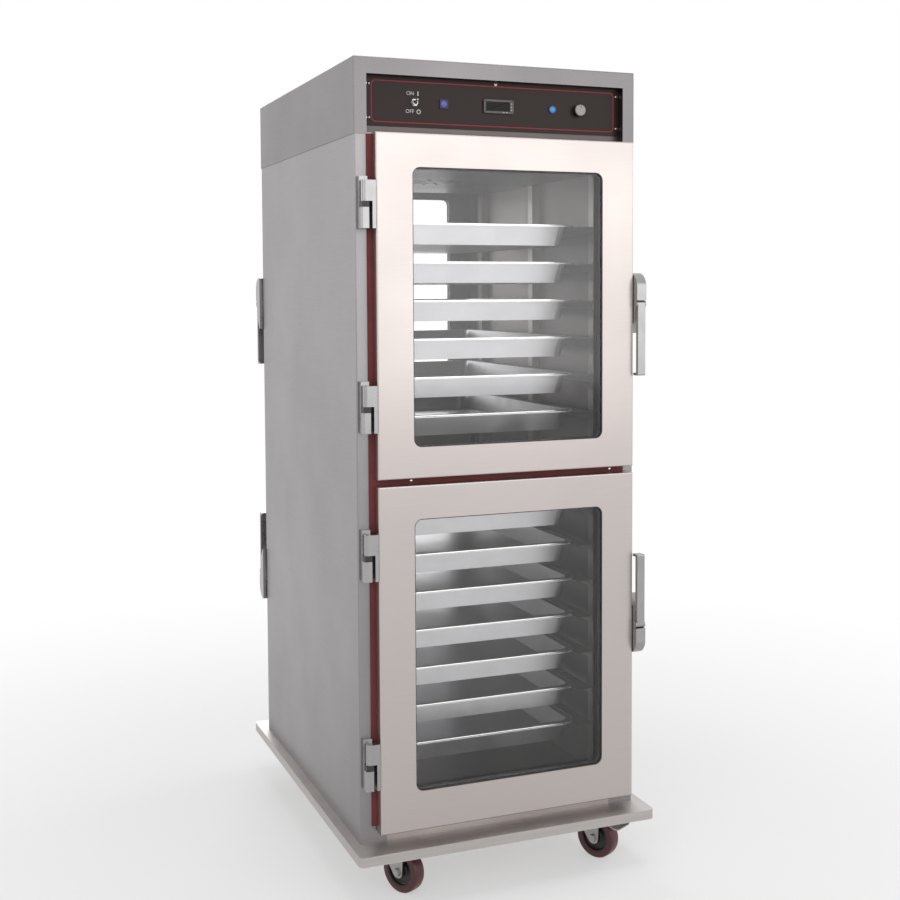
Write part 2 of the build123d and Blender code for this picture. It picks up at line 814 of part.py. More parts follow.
def caster_wheel():
    """Polyurethane tyre bonded on a moulded core with a hub and a thin web."""
    radius, half = wheel_diameter / 2, wheel_width / 2
    core_radius = radius - tyre_thickness
    tyre = Cylinder(radius, wheel_width) - Cylinder(core_radius, wheel_width)
    rims = tyre.edges().filter_by(GeomType.CIRCLE)
    tyre = fillet([edge for edge in rims if edge.radius > radius - 1], tyre_crown)
    hub_half = fork_inner - fit_gap
    profile = make_face(
        Polyline(
            (axle_radius + running_gap, -hub_half),
            (13, -hub_half),
            (13, -6),
            (core_radius - 6, -6),
            (core_radius - 4, -half + 1),
            (core_radius, -half + 1),
            (core_radius, half - 1),
            (core_radius - 4, half - 1),
            (core_radius - 6, 6),
            (13, 6),
            (13, hub_half),
            (axle_radius + running_gap, hub_half),
            close=True,
        )
    )
    core = revolve(Plane.XZ * profile, Axis.Z)
    upright = Pos(wheel_trail, 0, axle_height) * Rot(90, 0, 0)
    return group(upright * tyre, upright * core)


def brake_pedal():
    """Foot pedal of a caster brake: a barrel between the legs and a wide tread plate."""
    barrel_half = fork_inner - fit_gap
    barrel = rod_y(3.5, 0, (-barrel_half, barrel_half), 0)
    neck = block((0, 12), (-barrel_half, barrel_half), (-1.5, 1.5))
    tread_sketch = Pos(10 + (pedal_reach - 10) / 2, 0) * RectangleRounded(
        pedal_reach - 10, pedal_width, 10
    )
    tread = Pos(0, 0, -pedal_sheet / 2) * extrude(tread_sketch, pedal_sheet)
    pedal = barrel + neck + tread - rod_y(2 + running_gap, 0, (-barrel_half, barrel_half), 0)
    return Pos(pedal_pivot_x, 0, pedal_pivot_z) * Rot(0, pedal_slope, 0) * pedal


caster_places = {
    "front_left": (-1, -1),
    "front_right": (1, -1),
    "rear_left": (-1, 1),
    "rear_right": (1, 1),
}


def caster_spot(name):
    """Where the kingpin of a caster stands."""
    side, end = caster_places[name]
    return (
        side * (platform_width / 2 - caster_side_inset),
        end * (platform_depth / 2 - caster_end_inset),
    )


nodes = {}

# Cabinet body
nodes["base_platform"] = platform()
nodes["side_panels"] = group(side_panel(), turned(side_panel()))
nodes["door_frames"] = group(*door_frame(), *[turned(rail) for rail in door_frame()])
nodes["inner_liner"] = inner_liner()
nodes["wall_insulation"] = wall_insulation()
nodes["door_gaskets"] = group(door_gasket(), turned(door_gasket()))
nodes["header_cap"] = header_cap()
nodes["cord_gland"] = cord_gland()
nodes["control_carrier"] = control_carrier()
nodes["control_overlay"] = control_overlay()
nodes["panel_hardware"] = panel_hardware()
nodes["temperature_display"] = temperature_display()
nodes["pilot_lights"] = pilot_lights()
nodes["toggle_lever"] = toggle_lever()
nodes["temperature_knob"] = temperature_knob()

# Air system
nodes["air_baffle"] = air_baffle()
nodes["fan_motor"] = fan_motor()
nodes["fan_wheel"] = fan_wheel()
nodes["heating_element"] = heating_element()

# Racks and trays
lower_rims, upper_rims = rim_heights()
rack = tray_rack()
nodes["tray_racks"] = group(*rack, *[turned(piece) for piece in rack])
nodes["lower_trays"] = group(*[tray(rim) for rim in lower_rims])
nodes["upper_trays"] = group(*[tray(rim) for rim in upper_rims])

# Doors, front and rear, with their hinges and latches
leaves, cams, strikes = [], [], []
for level, (foot, head, sill) in doors.items():
    hinge_middles = (foot + hinge_inset, head - hinge_inset)
    panes = door_panes(sill)
    lever = placed_latch(latch_lever(), level)
    hardware = [door_hinge_leaf(middle) for middle in hinge_middles]
    hardware += [placed_latch(latch_housing(), level), placed_latch(latch_pin(), level)]
    front_pieces = {
        "shell": door_shell(foot, head, sill),
        "liner": door_liner(foot, head, sill),
        "glass": panes,
        "seal": door_seal(sill, panes),
        "hardware": group(*hardware),
        "lever": lever,
    }
    for piece_name, piece in front_pieces.items():
        nodes[f"front_{level}_door_{piece_name}"] = piece
        nodes[f"rear_{level}_door_{piece_name}"] = turned(piece)
    for middle in hinge_middles:
        leaves += [frame_hinge_leaf(middle), turned(frame_hinge_leaf(middle))]
        cams += [hinge_cam(middle), turned(hinge_cam(middle))]
    strike = placed_latch(latch_strike(), level)
    strikes += [strike, turned(strike)]
nodes["frame_hinge_leaves"] = group(*leaves)
nodes["hinge_cams"] = group(*cams)
nodes["latch_strikes"] = group(*strikes)

# Casters
nodes["caster_plates"] = group(*[caster_fixed(*caster_spot(name)) for name in caster_places])
for name, angle in swivel_angles.items():
    spot = caster_spot(name)
    braked = name in braked_casters
    nodes[f"{name}_fork"] = at_caster(caster_fork(braked), *spot, angle)
    nodes[f"{name}_wheel"] = at_caster(caster_wheel(), *spot, angle)
    if braked:
        nodes[f"{name}_brake"] = at_caster(brake_pedal(), *spot, angle)

for name, shape in nodes.items():
    export_step(shape, f"parts/{name}.step")
print(len(nodes), "nodes")
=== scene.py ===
import json
from math import cos, pi, radians, sin

import bmesh
import bpy
from mathutils import Matrix, Vector


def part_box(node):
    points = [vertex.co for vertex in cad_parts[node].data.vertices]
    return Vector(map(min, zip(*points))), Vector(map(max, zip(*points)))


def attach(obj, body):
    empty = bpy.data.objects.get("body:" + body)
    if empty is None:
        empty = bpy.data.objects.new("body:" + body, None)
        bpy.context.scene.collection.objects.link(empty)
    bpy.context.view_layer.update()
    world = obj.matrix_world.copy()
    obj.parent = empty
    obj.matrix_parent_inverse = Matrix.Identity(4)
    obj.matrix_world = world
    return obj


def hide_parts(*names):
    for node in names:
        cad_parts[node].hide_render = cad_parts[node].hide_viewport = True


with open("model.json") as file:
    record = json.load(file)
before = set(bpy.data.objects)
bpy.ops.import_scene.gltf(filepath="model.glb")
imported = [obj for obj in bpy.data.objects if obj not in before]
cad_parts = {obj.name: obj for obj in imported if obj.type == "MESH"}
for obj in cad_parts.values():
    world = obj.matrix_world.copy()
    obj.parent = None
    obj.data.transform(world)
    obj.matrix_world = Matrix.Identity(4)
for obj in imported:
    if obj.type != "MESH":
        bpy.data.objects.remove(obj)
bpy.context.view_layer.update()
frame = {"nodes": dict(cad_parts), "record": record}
joints = {joint["name"]: joint for joint in frame["record"]["behaviour"]["joints"]}


# Viewpoint of the photograph: standing at the front left, a little above the middle of the
# doors, found from the cabinet's own corners. The frame is square.
CAMERA_PLACE = Vector((-1.1841, -3.1164, 1.3378))
CAMERA_YAW = radians(21.525)
CAMERA_PITCH = radians(-3.268)
CAMERA_ROLL = radians(-0.293)
CAMERA_LENS_MM = 52.595
CAMERA_SHIFT_Y = -0.09

ahead = Vector(
    (
        sin(CAMERA_YAW) * cos(CAMERA_PITCH),
        cos(CAMERA_YAW) * cos(CAMERA_PITCH),
        sin(CAMERA_PITCH),
    )
)
level_right = Vector((cos(CAMERA_YAW), -sin(CAMERA_YAW), 0.0))
level_up = level_right.cross(ahead)
right = level_right * cos(CAMERA_ROLL) + level_up * sin(CAMERA_ROLL)
up = level_up * cos(CAMERA_ROLL) - level_right * sin(CAMERA_ROLL)
camera = bpy.data.objects.new("camera", bpy.data.cameras.new("camera"))
camera.data.lens = CAMERA_LENS_MM
camera.data.sensor_width = 36.0
camera.data.shift_y = CAMERA_SHIFT_Y
camera_turn = Matrix((right, up, -ahead)).transposed().to_4x4()
camera.matrix_world = Matrix.Translation(CAMERA_PLACE) @ camera_turn
bpy.context.scene.collection.objects.link(camera)
bpy.context.scene.camera = camera
bpy.context.scene.view_settings.view_transform = "Standard"
# Enough see-through steps for the eye to pass the eight faces of four panes.
bpy.context.scene.cycles.transparent_max_bounces = 32


# White studio: a pale floor that keeps the cabinet's shadow and fades into the white
# backdrop away from it, large soft lamps, and a backdrop that metal and glass also see.
FLOOR_HEX = "#F4F3F2"
FLOOR_SIZE = 24.0
FADE_START = 0.7
FADE_END = 2.8
FADE_LEAST = 0.45


def linear(hex_colour):
    """An sRGB hex colour as linear red, green, blue and alpha."""
    channels = [int(hex_colour[i : i + 2], 16) / 255 for i in (1, 3, 5)]
    curved = [c / 12.92 if c <= 0.04045 else ((c + 0.055) / 1.055) ** 2.4 for c in channels]
    return curved + [1.0]


def node(tree, kind, inputs=None, **settings):
    """Adds a shader node with its settings, and its inputs as values or links."""
    made = tree.nodes.new(kind)
    for name, value in settings.items():
        setattr(made, name, value)
    for socket, value in (inputs or {}).items():
        if isinstance(value, bpy.types.NodeSocket):
            tree.links.new(value, made.inputs[socket])
        else:
            made.inputs[socket].default_value = value
    return made


def new_material(name):
    """An empty node material, as the material, its tree and its output."""
    material = bpy.data.materials.new(name)
    material.use_nodes = True
    tree = material.node_tree
    tree.nodes.clear()
    return material, tree, node(tree, "ShaderNodeOutputMaterial")


def seen_rays(tree):
    """One for the rays that show the backdrop: camera, mirror and see-through rays."""
    path = node(tree, "ShaderNodeLightPath").outputs
    most = path["Is Camera Ray"]
    for ray in ("Is Glossy Ray", "Is Transmission Ray"):
        pair = {0: most, 1: path[ray]}
        most = node(tree, "ShaderNodeMath", pair, operation="MAXIMUM").outputs[0]
    return most


def studio_floor():
    """Matt white floor that turns into the backdrop's white away from the cabinet."""
    material, tree, output = new_material("studio_floor")
    place = node(tree, "ShaderNodeTexCoord").outputs["Object"]
    far = node(tree, "ShaderNodeVectorMath", {0: place}, operation="LENGTH").outputs["Value"]
    fade = node(
        tree,
        "ShaderNodeMapRange",
        {"Value": far, "From Min": FADE_START, "From Max": FADE_END, "To Min": FADE_LEAST},
        interpolation_type="SMOOTHSTEP",
    ).outputs["Result"]
    shown = {0: fade, 1: seen_rays(tree)}
    fade = node(tree, "ShaderNodeMath", shown, operation="MULTIPLY").outputs[0]
    matt = node(tree, "ShaderNodeBsdfDiffuse", {"Color": linear(FLOOR_HEX)}).outputs[0]
    white = node(tree, "ShaderNodeEmission", {"Strength": 1.0}).outputs[0]
    floor_seen = node(tree, "ShaderNodeMixShader", {0: fade, 1: matt, 2: white}).outputs[0]
    tree.links.new(floor_seen, output.inputs["Surface"])
    return material


floor_mesh = bmesh.new()
bmesh.ops.create_grid(floor_mesh, x_segments=1, y_segments=1, size=FLOOR_SIZE / 2)
floor_data = bpy.data.meshes.new("studio_floor")
floor_mesh.to_mesh(floor_data)
floor_mesh.free()
floor = bpy.data.objects.new("studio_floor", floor_data)
floor.data.materials.append(studio_floor())
bpy.context.scene.collection.objects.link(floor)

world = bpy.data.worlds.new("studio")
bpy.context.scene.world = world
world.use_nodes = True
world.node_tree.nodes.clear()
backdrop = world.node_tree
dim = {"Color": linear("#F2F2F4"), "Strength": 0.45}
bright = {"Color": linear("#FFFFFF"), "Strength": 1.0}
dim = node(backdrop, "ShaderNodeBackground", dim).outputs[0]
bright = node(backdrop, "ShaderNodeBackground", bright).outputs[0]
sky = node(backdrop, "ShaderNodeMixShader", {0: seen_rays(backdrop), 1: dim, 2: bright})
node(backdrop, "ShaderNodeOutputWorld", {"Surface": sky.outputs[0]})

# Each lamp's place and size in metres, and its power in watts.
LAMPS = {
    "key_softbox": ((1.5, -4.1, 2.1), 2.6, 31.0),
    "fill_softbox": ((-2.6, -3.2, 2.7), 2.2, 26.0),
    "left_softbox": ((-3.2, 1.8, 1.9), 2.0, 16.0),
    "right_softbox": ((3.5, 0.6, 2.3), 2.0, 26.0),
    "rear_softbox": ((0.6, 3.6, 2.4), 2.0, 38.0),
    "top_softbox": ((0.0, -0.4, 3.9), 2.2, 30.0),
}
LAMP_AIM = Vector((0.0, 0.0, 1.0))
for lamp_name, (place, size, power) in LAMPS.items():
    lamp = bpy.data.lights.new(lamp_name, "AREA")
    lamp.shape = "SQUARE"
    lamp.size = size
    lamp.energy = power
    stand = bpy.data.objects.new(lamp_name, lamp)
    stand.location = place
    stand.rotation_euler = (LAMP_AIM - Vector(place)).to_track_quat("-Z", "Y").to_euler()
    bpy.context.scene.collection.objects.link(stand)


# Casing: the folded side walls, the cross rails of both faces and the header's lid are
# brushed stainless steel, 1.5 mm sheet. The brush lines run level round the cabinet and
# break up what the steel reflects into soft streaks.
# The casing's tone is painted darker than the doors' tone of the same steel, as the shade on the
# cabinet's sides.
SHADED_CASING_HEX = "#918E90"
BRUSH_SPACING_MM = 1.2
BRUSH_LENGTH_MM = 90.0
SMEAR_MM = 260.0
# Blender's noise stays mostly between these two values.
NOISE_SPAN = {"From Min": 0.3, "From Max": 0.7}


def brushed_stainless(name, hex_colour, roughness, lines="X", streak=0.05):
    """Stainless sheet with brush lines along one axis and faint smears from wiping.

    The spacing is drawn coarser than the real 0.1 mm, so that it shows from a few metres.
    """
    material, tree, output = new_material(name)
    place = node(tree, "ShaderNodeTexCoord").outputs["Object"]
    scale = [1000.0 / BRUSH_SPACING_MM] * 3
    scale["XYZ".index(lines)] = 1000.0 / BRUSH_LENGTH_MM
    if lines == "X":
        scale[1] = scale[0]
    turned = node(tree, "ShaderNodeMapping", {"Vector": place, "Scale": scale}).outputs[0]
    brush = node(
        tree, "ShaderNodeTexNoise", {"Vector": turned, "Scale": 1.0, "Detail": 3.0}
    ).outputs[0]
    smear = node(
        tree, "ShaderNodeTexNoise", {"Vector": place, "Scale": 1000.0 / SMEAR_MM, "Detail": 2.0}
    ).outputs[0]
    tone = node(
        tree,
        "ShaderNodeMapRange",
        {**NOISE_SPAN, "Value": brush, "To Min": 1.0 - streak, "To Max": 1.0 + streak},
    ).outputs[0]
    colour = node(
        tree, "ShaderNodeVectorMath", {0: linear(hex_colour)[:3], 3: tone}, operation="SCALE"
    ).outputs[0]
    rough = node(
        tree,
        "ShaderNodeMapRange",
        {**NOISE_SPAN, "Value": smear, "To Min": roughness - 0.04, "To Max": roughness + 0.05},
    ).outputs[0]
    bump = node(
        tree, "ShaderNodeBump", {"Height": brush, "Strength": 0.12, "Distance": 0.0002}
    ).outputs[0]
    steel = node(
        tree,
        "ShaderNodeBsdfPrincipled",
        {"Base Color": colour, "Metallic": 1.0, "Roughness": rough, "Normal": bump},
    )
    tree.links.new(steel.outputs[0], output.inputs["Surface"])
    return material


def dress(name, material):
    """Gives a CAD node its material."""
    for material_slot in frame["nodes"][name].material_slots:
        material_slot.material = material


shaded_casing_steel = brushed_stainless("brushed_stainless_casing_painted_shade", SHADED_CASING_HEX, 0.36, "Y")
dress("side_panels", shaded_casing_steel)
# Lit and shaded copies of the casing's steel: the header rail and the sunk carrier are painted
# darker as shade, the door posts paler as light.
shaded_header_steel = brushed_stainless("brushed_stainless_header_painted_shade", "#7F7C7D", 0.38, "Y")
lit_post_steel = brushed_stainless("brushed_stainless_posts_painted_light", "#B0A9A7", 0.34, "Y")
shaded_carrier_steel = brushed_stainless("brushed_stainless_carrier_painted_shade", "#5F5958", 0.40, "X")
dress("header_cap", shaded_header_steel)
dress("door_frames", lit_post_steel)
dress("control_carrier", shaded_carrier_steel)


# Platform: a pan of 3 mm stainless sheet with welded, ground corners that stands out all
# round as a bumper. It is scuffed, so it is duller than the casing.
platform_steel = brushed_stainless("ground_stainless_platform", "#B9B4B1", 0.44, "X", 0.08)
dress("base_platform", platform_steel)


# Cavity: liner, false ceiling and racks are thinner stainless, dulled by heat and steam.
# Behind the glass they read as dark grey-brown.
cavity_steel = brushed_stainless("heat_dulled_liner", "#8A8584", 0.38, "Y", 0.06)
dress("inner_liner", cavity_steel)
# The ceiling's copy of the liner steel is painted darker, as shade under the cabinet's top.
dress("air_baffle", brushed_stainless("liner_steel_ceiling_painted_shade", "#5E5A5A", 0.40, "Y", 0.06))
dress("tray_racks", brushed_stainless("rolled_rack_steel", "#ABA6A3", 0.30, "Z", 0.05))


# Insulation: mineral wool slabs closed in between casing and liner. Yellow-brown matted
# fibre, seen only if the casing is taken off.
WOOL_HEX = "#8F7C4E"
WOOL_TUFT_MM = 9.0


def mineral_wool():
    """Matted mineral fibre: mottled, without any shine."""
    material, tree, output = new_material("mineral_wool")
    place = node(tree, "ShaderNodeTexCoord").outputs["Object"]
    tufts = node(
        tree, "ShaderNodeTexNoise", {"Vector": place, "Scale": 1000.0 / WOOL_TUFT_MM, "Detail": 6.0}
    ).outputs[0]
    colour = node(
        tree,
        "ShaderNodeMix",
        {0: tufts, 6: linear("#6E5E38"), 7: linear(WOOL_HEX)},
        data_type="RGBA",
    ).outputs[2]
    bump = node(tree, "ShaderNodeBump", {"Height": tufts, "Distance": 0.003}).outputs[0]
    wool = node(
        tree,
        "ShaderNodeBsdfPrincipled",
        {"Base Color": colour, "Roughness": 0.95, "Normal": bump},
    )
    tree.links.new(wool.outputs[0], output.inputs["Surface"])
    return material


dress("wall_insulation", mineral_wool())


# Trays: thirteen baking trays drawn from 1.2 mm aluminium sheet, with a rolled rim round a
# wire. The drawn walls are matt grey, and a painted highlight runs along each rim: a pale bead
# is drawn over each rim, a little proud of it.
TRAY_HEX = "#CFCED0"
TRAY_DEPTH = 0.048
TRAY_CORNER = 0.034
BEAD_WIDTH = 0.0026
BEAD_HEIGHT = 0.0030
BEAD_PROUD = 0.0004
BEAD_ROUNDING = 0.0009
TRAY_STAIN_MM = 70.0


def plain_metal(name, hex_colour, roughness, mottle_mm, mottle=0.06, bump_mm=0.02):
    """Unbrushed metal, drawn, cast or plated: even, with cloudy patches of a given size."""
    material, tree, output = new_material(name)
    place = node(tree, "ShaderNodeTexCoord").outputs["Object"]
    cloud = node(
        tree, "ShaderNodeTexNoise", {"Vector": place, "Scale": 1000.0 / mottle_mm, "Detail": 5.0}
    ).outputs[0]
    tone = node(
        tree,
        "ShaderNodeMapRange",
        {**NOISE_SPAN, "Value": cloud, "To Min": 1.0 - mottle, "To Max": 1.0 + mottle},
    ).outputs[0]
    colour = node(
        tree, "ShaderNodeVectorMath", {0: linear(hex_colour)[:3], 3: tone}, operation="SCALE"
    ).outputs[0]
    rough = node(
        tree,
        "ShaderNodeMapRange",
        {**NOISE_SPAN, "Value": cloud, "To Min": roughness - 0.05, "To Max": roughness + 0.07},
    ).outputs[0]
    bump = node(
        tree, "ShaderNodeBump", {"Height": cloud, "Strength": 0.3, "Distance": bump_mm / 1000.0}
    ).outputs[0]
    metal = node(
        tree,
        "ShaderNodeBsdfPrincipled",
        {"Base Color": colour, "Metallic": 1.0, "Roughness": rough, "Normal": bump},
    )
    tree.links.new(metal.outputs[0], output.inputs["Surface"])
    return material


def finish_piece(name, mesh, materials, body, sharp=35.0):
    """Makes a finished mesh an object that rides on a body of the cabinet."""
    bmesh.ops.recalc_face_normals(mesh, faces=mesh.faces)
    for face in mesh.faces:
        face.smooth = True
    for edge in mesh.edges:
        edge.smooth = len(edge.link_faces) == 2 and edge.calc_face_angle(0.0) < radians(sharp)
    data = bpy.data.meshes.new(name)
    mesh.to_mesh(data)
    mesh.free()
    for material in materials:
        data.materials.append(material)
    piece = bpy.data.objects.new(name, data)
    bpy.context.scene.collection.objects.link(piece)
    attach(piece, body)
    return piece


def rounded_loop(mesh, width, depth, corner, steps=6):
    """A flat rounded rectangle about the origin, as one face."""
    corners = bmesh.ops.create_grid(mesh, x_segments=1, y_segments=1, size=0.5)["verts"]
    bmesh.ops.scale(mesh, vec=(width, depth, 1.0), verts=corners)
    bmesh.ops.bevel(
        mesh,
        geom=corners,
        offset=corner,
        segments=steps,
        profile=0.5,
        affect="VERTICES",
        material=-1,
    )


def keep_rim(mesh, width):
    """Cuts the middle out of a flat face, and leaves its rim."""
    flat = mesh.faces[:]
    rim = bmesh.ops.inset_region(mesh, faces=flat, thickness=width, use_boundary=True)["faces"]
    middle = [face for face in mesh.faces if face not in rim]
    bmesh.ops.delete(mesh, geom=middle, context="FACES_ONLY")


def lift(mesh, faces, height):
    """Gives flat faces a thickness upwards."""
    raised = bmesh.ops.extrude_face_region(mesh, geom=faces)["geom"]
    corners = [part for part in raised if isinstance(part, bmesh.types.BMVert)]
    bmesh.ops.translate(mesh, vec=(0, 0, height), verts=corners)


drawn_aluminium = plain_metal("drawn_aluminium_tray", TRAY_HEX, 0.36, TRAY_STAIN_MM)
# Pale aluminium: the painted highlight along the tray rims, and the gasket screw heads.
rim_highlight_and_screw_aluminium = plain_metal("painted_rim_highlight_aluminium", "#F2F1EF", 0.22, 30.0, 0.03)
for name, count in (("lower_trays", 7), ("upper_trays", 6)):
    dress(name, drawn_aluminium)
    stack_low, stack_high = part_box(name)
    width = stack_high[0] - stack_low[0] + 2 * BEAD_PROUD
    length = stack_high[1] - stack_low[1] + 2 * BEAD_PROUD
    pitch = (stack_high[2] - stack_low[2] - TRAY_DEPTH) / (count - 1)
    beads = bmesh.new()
    rounded_loop(beads, width, length, TRAY_CORNER, 8)
    keep_rim(beads, BEAD_WIDTH)
    lift(beads, beads.faces[:], BEAD_HEIGHT)
    long_edges = [
        edge
        for edge in beads.edges
        if len(edge.link_faces) == 2 and edge.calc_face_angle(0.0) > 1.0
    ]
    bmesh.ops.bevel(
        beads,
        geom=long_edges,
        offset=BEAD_ROUNDING,
        segments=2,
        profile=0.5,
        affect="EDGES",
        material=-1,
    )
    bead_foot = stack_high[2] - BEAD_HEIGHT + BEAD_PROUD
    bmesh.ops.translate(beads, vec=(0, 0, bead_foot), verts=beads.verts)
    first = beads.verts[:] + beads.edges[:] + beads.faces[:]
    for below in range(1, count):
        copy = bmesh.ops.duplicate(beads, geom=first)["geom"]
        verts = [part for part in copy if isinstance(part, bmesh.types.BMVert)]
        bmesh.ops.translate(beads, vec=(0, 0, -below * pitch), verts=verts)
    finish_piece(f"{name}_rim_highlight_beads", beads, [rim_highlight_and_screw_aluminium], "cabinet")


# Door gaskets: one flat frame of dark red silicone sponge on each face, screwed to the posts
# and cross rails. It shows beside the hinges and between the doors.
SILICONE_HEX = "#712A2D"
SILICONE_PORE_MM = 1.6
RUBBER_PATCH_MM = 45.0
GASKET_SCREW_X = (-0.215, 0.275)
GASKET_SCREW_RADIUS = 0.0036


def cast_rubber(name, hex_colour, pore_mm, roughness):
    """Silicone or rubber: dull, slightly uneven in tone, finely pitted."""
    material, tree, output = new_material(name)
    place = node(tree, "ShaderNodeTexCoord").outputs["Object"]
    pores = node(
        tree, "ShaderNodeTexNoise", {"Vector": place, "Scale": 1000.0 / pore_mm, "Detail": 4.0}
    ).outputs[0]
    patches = node(
        tree,
        "ShaderNodeTexNoise",
        {"Vector": place, "Scale": 1000.0 / RUBBER_PATCH_MM, "Detail": 3.0},
    ).outputs[0]
    tone = node(
        tree,
        "ShaderNodeMapRange",
        {**NOISE_SPAN, "Value": patches, "To Min": 0.86, "To Max": 1.14},
    ).outputs[0]
    colour = node(
        tree, "ShaderNodeVectorMath", {0: linear(hex_colour)[:3], 3: tone}, operation="SCALE"
    ).outputs[0]
    bump = node(
        tree, "ShaderNodeBump", {"Height": pores, "Strength": 0.35, "Distance": 0.0003}
    ).outputs[0]
    rubber = node(
        tree,
        "ShaderNodeBsdfPrincipled",
        {"Base Color": colour, "Roughness": roughness, "Normal": bump},
    )
    tree.links.new(rubber.outputs[0], output.inputs["Surface"])
    return material


def add_dome(mesh, radius, squash, place, around=16, rings=8):
    """Adds a flattened ball, half of which sinks in and leaves a dome."""
    before = set(mesh.verts)
    bmesh.ops.create_uvsphere(mesh, u_segments=around, v_segments=rings, radius=radius)
    fresh = [vert for vert in mesh.verts if vert not in before]
    bmesh.ops.scale(mesh, vec=squash, verts=fresh)
    bmesh.ops.translate(mesh, vec=place, verts=fresh)


red_silicone = cast_rubber("red_silicone_sponge", SILICONE_HEX, SILICONE_PORE_MM, 0.62)
dress("door_gaskets", red_silicone)
gasket_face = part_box("door_gaskets")[0][1]
lower_door_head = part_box("front_lower_door_shell")[1][2]
upper_door_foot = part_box("front_upper_door_shell")[0][2]
gap_height = (lower_door_head + upper_door_foot) / 2
gasket_screws = bmesh.new()
for turn in (1, -1):
    for screw_x in GASKET_SCREW_X:
        screw_place = (turn * screw_x, turn * gasket_face, gap_height)
        add_dome(gasket_screws, GASKET_SCREW_RADIUS, (1.0, 0.6, 1.0), screw_place)
finish_piece(
    "gasket_screw_domes", gasket_screws, [rim_highlight_and_screw_aluminium], "cabinet"
)


# Doors: pans of polished stainless, painted paler than the casing as the light on the front,
# with an inner pan behind and an insulating window of two panes in a black silicone frame.
lit_door_steel = brushed_stainless("fine_brushed_door_painted_light", "#BDB5B2", 0.32, "X", 0.03)
door_names = [
    f"{side}_{level}_door" for side in ("front", "rear") for level in ("lower", "upper")
]
GLASS_TINT_HEX = "#FFFFFF"
GLASS_IOR = 1.42
GLASS_ROUGHNESS = 0.06


def clear_glass():
    """Thin float glass: clear, without tint, and mirror-like towards grazing angles."""
    material, tree, output = new_material("float_glass")
    through = node(tree, "ShaderNodeBsdfTransparent", {"Color": linear(GLASS_TINT_HEX)})
    gloss = node(
        tree, "ShaderNodeBsdfGlossy", {"Color": linear("#FFFFFF"), "Roughness": GLASS_ROUGHNESS}
    )
    # Light goes straight through this pane, so only a face seen from outside it may reflect.
    inner = node(tree, "ShaderNodeNewGeometry").outputs["Backfacing"]
    outer = node(tree, "ShaderNodeMath", {0: 1.0, 1: inner}, operation="SUBTRACT").outputs[0]
    glint = node(tree, "ShaderNodeFresnel", {"IOR": GLASS_IOR}).outputs[0]
    amount = node(tree, "ShaderNodeMath", {0: glint, 1: outer}, operation="MULTIPLY").outputs[0]
    pane = node(
        tree, "ShaderNodeMixShader", {0: amount, 1: through.outputs[0], 2: gloss.outputs[0]}
    )
    tree.links.new(pane.outputs[0], output.inputs["Surface"])
    return material


glass = clear_glass()
window_seal = cast_rubber("black_glazing_silicone", "#3A3737", 1.2, 0.5)
for door in door_names:
    dress(f"{door}_shell", lit_door_steel)
    dress(f"{door}_liner", cavity_steel)
    dress(f"{door}_glass", glass)
    dress(f"{door}_seal", window_seal)


# Hinges and latches: zinc castings, polished and chromed with a satin last coat. The leaves,
# housings, handles and keepers catch small soft lights on their round edges.
satin_chrome = plain_metal("satin_chromed_casting", "#A09F9F", 0.28, 30.0, 0.04, 0.004)
for door in door_names:
    dress(f"{door}_hardware", satin_chrome)
    dress(f"{door}_lever", satin_chrome)
for fixed in ("frame_hinge_leaves", "latch_strikes"):
    dress(fixed, satin_chrome)


def moulded_plastic(name, hex_colour, roughness, grain_mm, bump_mm=0.05, shine=0.5):
    """Injection moulded plastic: even colour, a fine spark-eroded grain, a soft shine."""
    material, tree, output = new_material(name)
    place = node(tree, "ShaderNodeTexCoord").outputs["Object"]
    grain = node(
        tree, "ShaderNodeTexNoise", {"Vector": place, "Scale": 1000.0 / grain_mm, "Detail": 2.0}
    ).outputs[0]
    tone = node(
        tree, "ShaderNodeMapRange", {"Value": grain, "To Min": 0.88, "To Max": 1.12}
    ).outputs[0]
    colour = node(
        tree, "ShaderNodeVectorMath", {0: linear(hex_colour)[:3], 3: tone}, operation="SCALE"
    ).outputs[0]
    bump = node(
        tree, "ShaderNodeBump", {"Height": grain, "Strength": 0.4, "Distance": bump_mm / 1000.0}
    ).outputs[0]
    plastic = node(
        tree,
        "ShaderNodeBsdfPrincipled",
        {"Base Color": colour, "Roughness": roughness, "Normal": bump, "Specular IOR Level": shine},
    )
    tree.links.new(plastic.outputs[0], output.inputs["Surface"])
    return material


black_nylon = moulded_plastic("black_nylon", "#2E2D2D", 0.45, 1.0)
dress("hinge_cams", black_nylon)
dress("cord_gland", black_nylon)


# Control panel: a sheet of dark brown screen-printed polycarbonate on the sunk carrier, with
# a red line round its edge. The line is printed, and here it is a skin of 0.12 mm.
PANEL_HEX = "#2D201E"
LINE_HEX = "#A8333B"
LINE_INSET = 0.0085
LINE_INSET_LEFT = 0.0175
LINE_INSET_RIGHT = 0.012
LINE_WIDTH = 0.0022
LINE_CORNER = 0.011
PRINT_THICKNESS = 0.00012

panel_brown = moulded_plastic("printed_polycarbonate", PANEL_HEX, 0.38, 0.8, 0.02, 0.22)
dress("control_overlay", panel_brown)
panel_low, panel_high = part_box("control_overlay")
panel_face = panel_low[1]
panel_middle = (panel_low[2] + panel_high[2]) / 2
panel_size = (panel_high[0] - panel_low[0], panel_high[2] - panel_low[2])


def stand_up(mesh, x, y, z):
    """Turns flat work to face the front and puts its middle at a place."""
    bmesh.ops.rotate(mesh, matrix=Matrix.Rotation(pi / 2, 3, "X"), verts=mesh.verts)
    bmesh.ops.translate(mesh, vec=(x, y, z), verts=mesh.verts)


